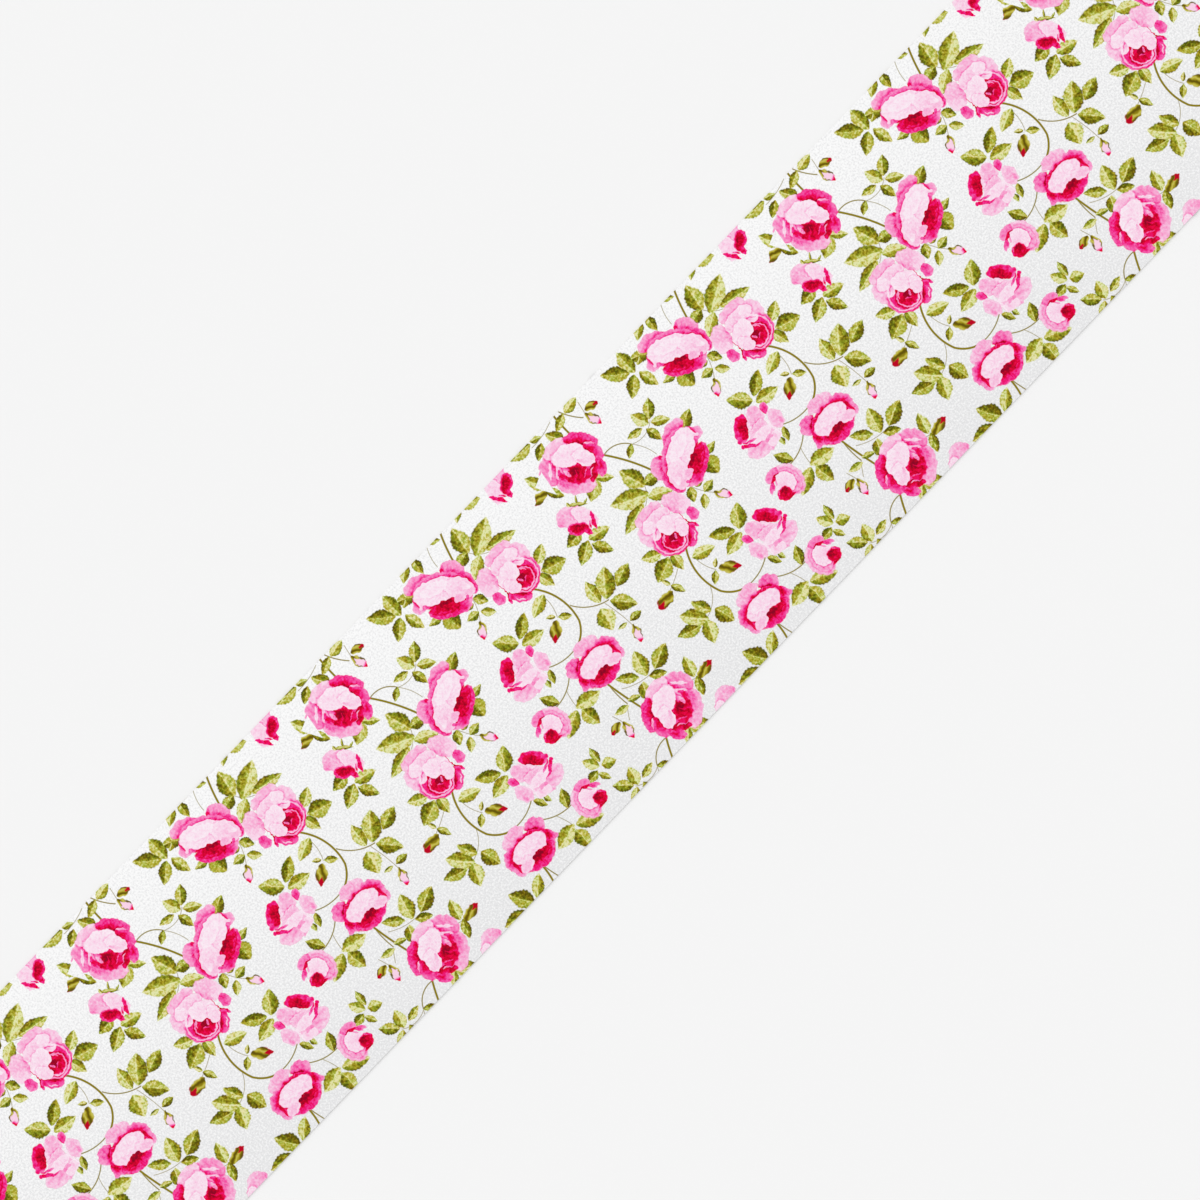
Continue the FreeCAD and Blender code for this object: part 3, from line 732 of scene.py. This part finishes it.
def rose(n, place, mask, tone, middle, petals):
    """The mask and tone so far, with more petals of one rose. Each covers what is behind it, and a
    large one darkens what it stands over. A mix holds its factor between 0 and 1 by itself."""
    place = after(n, place, tone)
    point = n.vector("ADD", place, (0.0, 0.0, 1.0))
    for x, y, degrees, half_length, half_width, behind, ahead in petals:
        x, y = middle[0] + x, middle[1] + y
        here = n.placed(place, (x, y, 0.0), degrees, (half_length, half_width, 1.0))
        size = n.vector("DOT_PRODUCT", here, here)
        cover = n.math("MULTIPLY_ADD", size, -8.0, 8.6)
        slope = (ahead - behind) / 2 / half_length
        sx, sy = slope * math.cos(math.radians(degrees)), slope * math.sin(math.radians(degrees))
        level = (behind + ahead) / 2 - sx * x - sy * y + 0.05
        shade = n.vector("DOT_PRODUCT", point, (sx, sy, level))
        shade = n.math("MULTIPLY_ADD", size, -0.10, shade)
        if half_width > 1.2:
            under = n.math("MAXIMUM", n.math("MULTIPLY_ADD", size, -0.5, 0.72), 0.0)
            tone = n.math("ADD", tone, under)
        tone = n.mix(cover, tone, shade)
        mask = n.math("MAXIMUM", mask, cover)
    return mask, tone


def roses(n, place, streaks):
    """Mask and tone of all the roses."""
    mask, tone = n.math("ADD", 0.0, 0.0), n.math("ADD", 0.5, 0.0)
    for middle, petals in ROSES:
        for begin in range(0, len(petals), 15):
            mask, tone = n.group("rose", rose, place, mask, tone, middle, petals[begin : begin + 15])
    return mask, n.math("ADD", tone, streaks)


def petal_streaks(n, place):
    """Uneven strokes that run outward from the middle of the nearest rose."""
    least, spot = 1000.0, place
    for middle, petals in ROSES:
        from_middle = n.vector("SUBTRACT", place, middle + (0.0,))
        distance = n.vector("LENGTH", from_middle)
        spot = n.mix(n.math("LESS_THAN", distance, least), spot, from_middle, "VECTOR")
        least = n.math("MINIMUM", distance, least)
    x, y = n.split(spot)[:2]
    angle = n.math("ARCTAN2", y, x)
    around, outward = n.math("MULTIPLY", angle, 5.0), n.math("MULTIPLY", least, 0.7)
    return (n.noise(n.join(around, outward), 1.0, 2.0, 0.6, "2D"),)


def rose_colour(n, tone):
    stops = [(position / ROSE_TOP, colour) for position, colour in ROSE_COLOURS]
    return n.ramp(n.math("DIVIDE", tone, ROSE_TOP), stops)


def printed_cotton():
    made, n, shader = material("printed_cotton")
    cloth_mm = n.node("ShaderNodeUVMap", uv_map="cloth").outputs[0]
    s, y = n.split(cloth_mm)[:2]
    place, first = fold_into_cluster(n, s, y)
    wander = n.vector("SUBTRACT", n.noise(place, 0.9, 1.5, 0.45, "2D", output=1), (0.5, 0.5, 0.5))
    leaf_wander = n.vector("MULTIPLY", wander, (0.35, 0.35, 0.0))
    petal_wander = n.vector("MULTIPLY", wander, (0.8, 0.8, 0.0))
    grain = n.noise(place, 2.0, 2.0, 0.6, "2D")

    stem = n.group("stems", stems, place, 0.0, STEMS)[0]
    stem = n.group("lone_stems", stems, after(n, first, stem), stem, LONE_STEMS)[0]
    cloudy = n.noise(cloth_mm, 2.6, 3.0, 0.6, "2D")
    # The ground is darker towards the cloth's -Y edge and paler towards +Y: painted shade and light, as
    # from the lamp on the +Y side. The cloudy noise is the cotton's own uneven tone.
    mottle_and_painted_shade = n.math("MULTIPLY_ADD", y, 0.0027, cloudy)
    ground = n.mix(n.fade(mottle_and_painted_shade, 0.30, 0.70), linear(GROUND_SHADE), linear(GROUND), "RGBA")
    colour = n.mix(stem, ground, linear(STEM_COLOUR), "RGBA")
    place = after(n, place, stem)
    patches = n.split(wander)[2]
    leaf_place, lone_place = n.vector("ADD", place, leaf_wander), n.vector("ADD", first, leaf_wander)
    mask, leaf = leaves(n, leaf_place, lone_place, grain, patches)
    colour = n.mix(mask, colour, leaf, "RGBA")
    warped = n.vector("ADD", after(n, place, mask), petal_wander)
    lone_warped = n.vector("ADD", after(n, first, mask), petal_wander)
    mask, green, opening, tip = n.group("buds", buds, warped, lone_warped)
    colour = n.mix(mask, colour, n.mix(opening, green, rose_colour(n, tip), "RGBA"), "RGBA")
    strokes = n.group("petal_streaks", petal_streaks, after(n, warped, mask))[0]
    streaks = n.math("MULTIPLY_ADD", n.math("ADD", grain, strokes), 0.36, -0.33)
    mask, tone = roses(n, after(n, warped, streaks), streaks)
    colour = n.mix(mask, colour, rose_colour(n, tone), "RGBA")

    wrong = n.node("ShaderNodeAttribute", attribute_name="wrong_side").outputs["Fac"]
    colour = n.mix(n.math("MULTIPLY", wrong, 0.72), colour, linear((238, 234, 230)), "RGBA")

    # Plain weave, slightly uneven threads, and the faint fibres that the print sits in.
    threads = n.vector("MULTIPLY", cloth_mm, (2 * math.pi / 0.42, 2 * math.pi / 0.42, 0.0))
    along, across = n.split(threads)[:2]
    weave = n.math("MULTIPLY", n.math("SINE", along), n.math("SINE", across))
    fibres = n.noise(cloth_mm, 2.2, 4.0, 0.65, "2D")
    height = n.math("MULTIPLY_ADD", fibres, 1.6, weave)
    bump = n.node("ShaderNodeBump", [("Height", height), ("Distance", 0.00003), ("Strength", 0.5)])
    plug(n, shader, Base_Color=colour, Roughness=0.88, Normal=bump.outputs[0], Specular_IOR_Level=0.06)
    return made


def wound_cotton():
    """The wound layers' cut edges: white yarn, with here and there the print's colour."""
    made, n, shader = material("wound_cotton")
    cloth_mm = n.node("ShaderNodeUVMap", uv_map="cloth").outputs[0]
    tint = n.noise(n.vector("MULTIPLY", cloth_mm, (1.0, 0.2, 0.0)), 0.09, 3.0, 0.6, "2D")
    tuft = n.noise(n.vector("MULTIPLY", cloth_mm, (1.0, 3.0, 0.0)), 3.0, 3.0, 0.7, "2D")
    stops = [
        (0.0, (150, 150, 90)), (0.36, (222, 224, 205)), (0.46, (238, 238, 236)),
        (0.60, (240, 232, 236)), (0.74, (238, 150, 190)),
    ]
    colour = n.ramp(tint, stops)
    colour = n.mix(n.math("MULTIPLY", tuft, 0.25), colour, linear((205, 200, 195)), "RGBA")
    bump = n.node("ShaderNodeBump", [("Height", tuft), ("Distance", 0.0001), ("Strength", 0.6)])
    plug(n, shader, Base_Color=colour, Roughness=0.92, Normal=bump.outputs[0], Sheen_Weight=0.06)
    return made


# ---------------------------------------------------------------- board, tapes, label, floor

BORDER_INSET = 1.2 * MM
BORDER_HALF = 0.18 * MM


def paper(name, light, dark, fibre_scale, stretch, roughness, depth):
    """Paper or board: long fibres in two tones of one colour and as bump, with clouds and specks."""
    made, n, shader = material(name)
    place = n.node("ShaderNodeTexCoord").outputs["Object"]
    fibres = n.noise(n.vector("MULTIPLY", place, stretch), fibre_scale, 5.0, 0.7)
    clouds = n.noise(place, fibre_scale / 9, 2.0, 0.5)
    specks = n.noise(place, fibre_scale * 2.5, 1.0, 0.5)
    colour = n.mix(n.fade(fibres, 0.3, 0.7), linear(dark), linear(light), "RGBA")
    colour = n.mix(n.fade(clouds, 0.35, 0.75, 0.0, 0.25), colour, linear(dark), "RGBA")
    speck_colour = linear([c * 0.6 for c in dark])
    colour = n.mix(n.fade(specks, 0.70, 0.78, 0.0, 0.35), colour, speck_colour, "RGBA")
    bump = n.node("ShaderNodeBump", [("Height", fibres), ("Distance", depth), ("Strength", 0.6)])
    rough = n.fade(fibres, 0.2, 0.8, roughness - 0.07, roughness + 0.07)
    plug(n, shader, Base_Color=colour, Roughness=rough, Normal=bump.outputs[0])
    return made


def label_paper():
    """White label paper with a thin plain border and nothing written on it."""
    white, cream = (244, 243, 238), (232, 230, 222)
    made = paper("label_paper", white, cream, 900.0, (1.0, 1.0, 1.0), 0.55, 0.00001)
    n, shader = Nodes(made.node_tree), made.node_tree.nodes["Principled BSDF"]
    low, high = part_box("end_label")
    middle = [(a + b) / 2 for a, b in zip(low, high)]
    half = [(b - a) / 2 for a, b in zip(low, high)]
    place = n.node("ShaderNodeTexCoord").outputs["Object"]
    from_middle = n.split(n.vector("ABSOLUTE", n.vector("SUBTRACT", place, middle)))
    inside = [
        n.math("SUBTRACT", half[0] - BORDER_INSET, from_middle[0]),
        n.math("SUBTRACT", half[2] - BORDER_INSET, from_middle[2]),
    ]
    edge = n.math("ABSOLUTE", n.math("MINIMUM", *inside))
    line = n.fade(edge, BORDER_HALF + 0.04 * MM, BORDER_HALF - 0.04 * MM, 0.0, 0.85)
    paper_colour = shader.inputs["Base Color"].links[0].from_socket
    plug(n, shader, Base_Color=n.mix(line, paper_colour, linear((196, 92, 128)), "RGBA"))
    return made


def masking_tape():
    """Cream crepe paper: fine wrinkles across the tape, with painted shade in their troughs."""
    made, n, shader = material("masking_tape")
    place = n.node("ShaderNodeTexCoord").outputs["Object"]
    wrinkles = n.noise(n.vector("MULTIPLY", place, (3.0, 0.6, 1.0)), 900.0, 3.0, 0.6)
    # Painted shade and light: the tape is darker where the wrinkles are low and paler where they are
    # high.
    colour = n.mix(wrinkles, linear((214, 196, 150)), linear((236, 222, 184)), "RGBA")
    bump = n.node("ShaderNodeBump", [("Height", wrinkles), ("Distance", 0.00005), ("Strength", 0.7)])
    plug(n, shader, Base_Color=colour, Roughness=0.6, Normal=bump.outputs[0])
    return made


def floor_finish():
    made, n, shader = material("floor_finish")
    place = n.node("ShaderNodeTexCoord").outputs["Object"]
    rough = n.fade(n.noise(place, 40.0, 2.0), 0.3, 0.7, 0.78, 0.86)
    plug(n, shader, Base_Color=linear((245, 245, 245)), Roughness=rough)
    shader.inputs["Specular IOR Level"].default_value = 0.2
    return made


def add_floor():
    far = 15.0  # metres each way, so that its edge is far off in a low view
    mesh = bpy.data.meshes.new("floor")
    corners = [(-far, -far, 0), (far, -far, 0), (far, far, 0), (-far, far, 0)]
    mesh.from_pydata(corners, [], [(0, 1, 2, 3)])
    floor = bpy.data.objects.new("floor", mesh)
    bpy.context.scene.collection.objects.link(floor)
    mesh.materials.append(floor_finish())


def add_light_and_camera():
    """A pale even surround, a wide soft light from the strip's +Y side, and a camera looking down."""
    scene = bpy.context.scene
    world = bpy.data.worlds.new("studio")
    world.use_nodes = True
    background = world.node_tree.nodes["Background"]
    background.inputs["Color"].default_value = (1, 1, 1, 1)
    background.inputs["Strength"].default_value = 0.80
    scene.world = world
    softbox = bpy.data.lights.new("softbox", "SUN")
    softbox.angle = math.radians(80)
    softbox.energy = 1.32
    lamp = bpy.data.objects.new("softbox", softbox)
    lamp.rotation_euler = (math.radians(-28), 0, 0)
    scene.collection.objects.link(lamp)

    lens = bpy.data.cameras.new("camera")
    lens.type = "PERSP"
    lens.sensor_width = SENSOR
    lens.lens = SENSOR * CAMERA_HEIGHT / VIEW_SIDE
    lens.clip_end = 100
    camera = bpy.data.objects.new("camera", lens)
    camera.location = (VIEW_CENTRE_X * MM, 0, CAMERA_HEIGHT * MM)
    camera.rotation_euler = (0, 0, -math.radians(VIEW_TURN))
    scene.collection.objects.link(camera)
    scene.camera = camera
    scene.view_settings.view_transform = "Standard"


# ---------------------------------------------------------------- building


def dress(piece, finish):
    piece.data.materials.append(finish)


def build_cloth():
    """The whole cloth, in pieces that meet halfway along each panel, so that each has one fold in it.
    """
    print_finish, wound_finish = printed_cotton(), wound_cotton()
    turns = []
    for begin, length_turn in zip(route.begins, route.steps):
        length, turn = length_turn
        if begin < OUTER_TURN - 1e-6:
            pieces = 3 if not turn else 14
            turns += [begin + length * k / pieces for k in range(pieces)]
    turns.append(OUTER_TURN)
    wound = cloth("wound_layers", np.array(turns), 5, edge_drift=WOUND_DRIFT)
    dress(wound, wound_finish)
    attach(wound, "bolt")
    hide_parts("wound_fabric")

    top_middle = PEEL - BOARD_FLAT / 2
    outer = cloth("outer_turn", distances(OUTER_TURN, top_middle, 1.5), 33)
    dress(outer, print_finish)
    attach(outer, "bolt")
    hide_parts("wound_fabric")

    bounds = [top_middle] + [(a + b) / 2 for a, b in zip([PEEL] + CREASES[:-1], CREASES)] + [CUT_END]
    names = ["cloth_off_bolt", "cloth_crease_1", "cloth_crease_2", "cloth_crease_3", "cloth_crease_4"]
    nodes = ["ramp_panel", "strip_panel_1", "strip_panel_2", "strip_panel_3", "free_end_panel"]
    folds = [PEEL] + CREASES
    for index, name in enumerate(names):
        start, end = bounds[index], bounds[index + 1]
        piece = cloth(name, distances(start, end, 2.0, [folds[index]]), 33)
        dress(piece, print_finish)
        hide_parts(nodes[index])
        x = route.at(np.array([folds[index]]))[0][0, 0]
        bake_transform(piece)


def dress_board():
    """The board, tapes and label keep their CAD shapes."""
    # Name, light and dark tone, fibres per metre, fibre stretch, roughness and depth of the bump.
    kraft = paper(
        "kraft_liner", (186, 148, 104), (158, 120, 80), 420.0, (1.0, 0.25, 1.0), 0.78, 0.00003
    )
    fluting = paper(
        "kraft_fluting", (170, 132, 92), (146, 108, 72), 380.0, (1.0, 0.3, 1.0), 0.85, 0.00004
    )
    gummed = paper(
        "gummed_tape", (176, 134, 86), (160, 116, 70), 600.0, (1.0, 0.2, 1.0), 0.42, 0.00002
    )
    finishes = {
        "board_outer_liner": kraft,
        "board_inner_liner": kraft,
        "board_fluting": fluting,
        "board_joint_tape": gummed,
        "inner_end_tape": masking_tape(),
        "end_label": label_paper(),
    }
    for name, finish in finishes.items():
        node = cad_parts[name]
        node.data.materials.clear()
        node.data.materials.append(finish)


add_light_and_camera()
add_floor()
build_cloth()
dress_board()
